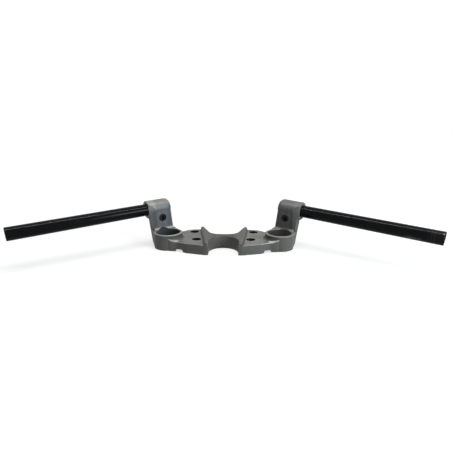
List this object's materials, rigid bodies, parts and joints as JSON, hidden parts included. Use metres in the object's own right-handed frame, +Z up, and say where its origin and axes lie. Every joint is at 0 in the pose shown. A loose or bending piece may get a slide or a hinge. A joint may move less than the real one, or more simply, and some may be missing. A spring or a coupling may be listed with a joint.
{
  "type": "motorcycle handlebar",
  "caption": "Swept motorcycle handlebar: a cast bridge fits over both fork legs, and its leaning risers clamp plain bar tubes with pinch bolts.",
  "frame": {"origin": "midway between the fork bores, on the flat underside of the bridge", "axes": "+X to the rider's right hand, +Y forward away from the rider, +Z up along the fork bores"},
  "size_m": [0.6864, 0.1796, 0.0835],
  "materials": {
    "cast_aluminium": "bare sand cast surface with machined flats, dulled by age",
    "black_paint": "gloss black paint with fine scratches",
    "dark_steel": "black oxide steel"
  },
  "bodies": {
    "root": {"bridge_casting": "cast_aluminium", "left_bar_tube": "black_paint", "right_bar_tube": "black_paint", "left_pinch_bolt": "dark_steel", "right_pinch_bolt": "dark_steel"}
  },
  "joints": []
}
